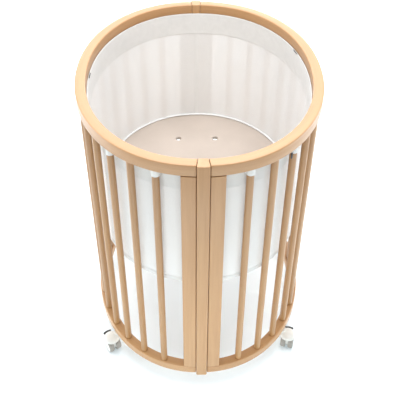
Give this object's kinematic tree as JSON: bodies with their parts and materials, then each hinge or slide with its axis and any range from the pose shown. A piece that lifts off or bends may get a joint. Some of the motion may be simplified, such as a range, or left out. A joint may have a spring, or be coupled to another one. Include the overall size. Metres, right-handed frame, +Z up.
{
  "type": "baby crib",
  "caption": "Oval baby crib with slatted bent-wood half frames, two end posts, a fabric mesh liner, an oval mattress base and swivel casters with twin wheels.",
  "frame": {"origin": "on the floor, under the middle of the oval", "axes": "+Z up, +Y along the long axis towards the rear post (the front post is at -Y), +X to the right half frame seen from the front"},
  "size_m": [0.67, 0.848, 0.87],
  "materials": {
    "beech": "clear satin lacquer over pale beech",
    "base_board": "pale matt board",
    "mesh_fabric": "white see-through knitted mesh with a solid cloth hem",
    "steel": "satin folded sheet",
    "white_plastic": "satin moulded plastic",
    "grey_tread": "soft grey tread",
    "dark_plastic": "dark moulded plastic"
  },
  "bodies": {
    "crib_frame": {"top_rail_left": "beech", "top_rail_right": "beech", "bottom_rail_left": "beech", "bottom_rail_right": "beech", "stile_front_left": "beech", "stile_front_right": "beech", "stile_rear_left": "beech", "stile_rear_right": "beech", "post_front": "beech", "post_rear": "beech", "slat_left_01": "beech", "slat_left_02": "beech", "slat_left_03": "beech", "slat_left_04": "beech", "slat_left_05": "beech", "slat_left_06": "beech", "slat_left_07": "beech", "slat_left_08": "beech", "slat_left_09": "beech", "slat_left_10": "beech", "slat_left_11": "beech", "slat_left_12": "beech", "slat_left_13": "beech", "slat_left_14": "beech", "slat_right_01": "beech", "slat_right_02": "beech", "slat_right_03": "beech", "slat_right_04": "beech", "slat_right_05": "beech", "slat_right_06": "beech", "slat_right_07": "beech", "slat_right_08": "beech", "slat_right_09": "beech", "slat_right_10": "beech", "slat_right_11": "beech", "slat_right_12": "beech", "slat_right_13": "beech", "slat_right_14": "beech", "mattress_base": "base_board", "fabric_liner": "mesh_fabric", "base_bracket_front": "steel", "base_bracket_rear": "steel", "caster_bracket_front_left": "white_plastic", "caster_bracket_front_right": "white_plastic", "caster_bracket_rear_left": "white_plastic", "caster_bracket_rear_right": "white_plastic"},
    "yoke_front_left": {"caster_yoke_front_left": "white_plastic"},
    "wheel_front_left_a": {"wheel_front_left_a": "grey_tread"},
    "wheel_front_left_b": {"wheel_front_left_b": "grey_tread"},
    "brake_lever_front_left": {"brake_lever_front_left": "dark_plastic"},
    "yoke_front_right": {"caster_yoke_front_right": "white_plastic"},
    "wheel_front_right_a": {"wheel_front_right_a": "grey_tread"},
    "wheel_front_right_b": {"wheel_front_right_b": "grey_tread"},
    "brake_lever_front_right": {"brake_lever_front_right": "dark_plastic"},
    "yoke_rear_left": {"caster_yoke_rear_left": "white_plastic"},
    "wheel_rear_left_a": {"wheel_rear_left_a": "grey_tread"},
    "wheel_rear_left_b": {"wheel_rear_left_b": "grey_tread"},
    "yoke_rear_right": {"caster_yoke_rear_right": "white_plastic"},
    "wheel_rear_right_a": {"wheel_rear_right_a": "grey_tread"},
    "wheel_rear_right_b": {"wheel_rear_right_b": "grey_tread"}
  },
  "joints": [
    {"name": "caster_swivel_front_left", "type": "hinge", "parent": "crib_frame", "child": "yoke_front_left", "pos_m": [-0.28398, -0.26663, 0.047], "axis": [0, 0, 1], "continuous": true},
    {"name": "wheel_roll_front_left_a", "type": "hinge", "parent": "yoke_front_left", "child": "wheel_front_left_a", "pos_m": [-0.28133, -0.27087, 0.0215], "axis": [0.848, 0.5299, 0], "continuous": true},
    {"name": "wheel_roll_front_left_b", "type": "hinge", "parent": "yoke_front_left", "child": "wheel_front_left_b", "pos_m": [-0.28133, -0.27087, 0.0215], "axis": [0.848, 0.5299, 0], "continuous": true},
    {"name": "brake_press_front_left", "type": "hinge", "parent": "yoke_front_left", "child": "brake_lever_front_left", "pos_m": [-0.29193, -0.25391, 0.038], "axis": [-0.848, -0.5299, 0], "range_deg": [0, 10]},
    {"name": "caster_swivel_front_right", "type": "hinge", "parent": "crib_frame", "child": "yoke_front_right", "pos_m": [0.28398, -0.26663, 0.047], "axis": [0, 0, 1], "continuous": true},
    {"name": "wheel_roll_front_right_a", "type": "hinge", "parent": "yoke_front_right", "child": "wheel_front_right_a", "pos_m": [0.28268, -0.27146, 0.0215], "axis": [0.9659, -0.2588, 0], "continuous": true},
    {"name": "wheel_roll_front_right_b", "type": "hinge", "parent": "yoke_front_right", "child": "wheel_front_right_b", "pos_m": [0.28268, -0.27146, 0.0215], "axis": [0.9659, -0.2588, 0], "continuous": true},
    {"name": "brake_press_front_right", "type": "hinge", "parent": "yoke_front_right", "child": "brake_lever_front_right", "pos_m": [0.28786, -0.25214, 0.038], "axis": [-0.9659, 0.2588, 0], "range_deg": [0, 10]},
    {"name": "caster_swivel_rear_left", "type": "hinge", "parent": "crib_frame", "child": "yoke_rear_left", "pos_m": [-0.28398, 0.26663, 0.047], "axis": [0, 0, 1], "continuous": true},
    {"name": "wheel_roll_rear_left_a", "type": "hinge", "parent": "yoke_rear_left", "child": "wheel_rear_left_a", "pos_m": [-0.28868, 0.26834, 0.0215], "axis": [-0.342, -0.9397, 0], "continuous": true},
    {"name": "wheel_roll_rear_left_b", "type": "hinge", "parent": "yoke_rear_left", "child": "wheel_rear_left_b", "pos_m": [-0.28868, 0.26834, 0.0215], "axis": [-0.342, -0.9397, 0], "continuous": true},
    {"name": "caster_swivel_rear_right", "type": "hinge", "parent": "crib_frame", "child": "yoke_rear_right", "pos_m": [0.28398, 0.26663, 0.047], "axis": [0, 0, 1], "continuous": true},
    {"name": "wheel_roll_rear_right_a", "type": "hinge", "parent": "yoke_rear_right", "child": "wheel_rear_right_a", "pos_m": [0.28851, 0.26874, 0.0215], "axis": [-0.4226, 0.9063, 0], "continuous": true},
    {"name": "wheel_roll_rear_right_b", "type": "hinge", "parent": "yoke_rear_right", "child": "wheel_rear_right_b", "pos_m": [0.28851, 0.26874, 0.0215], "axis": [-0.4226, 0.9063, 0], "continuous": true}
  ]
}
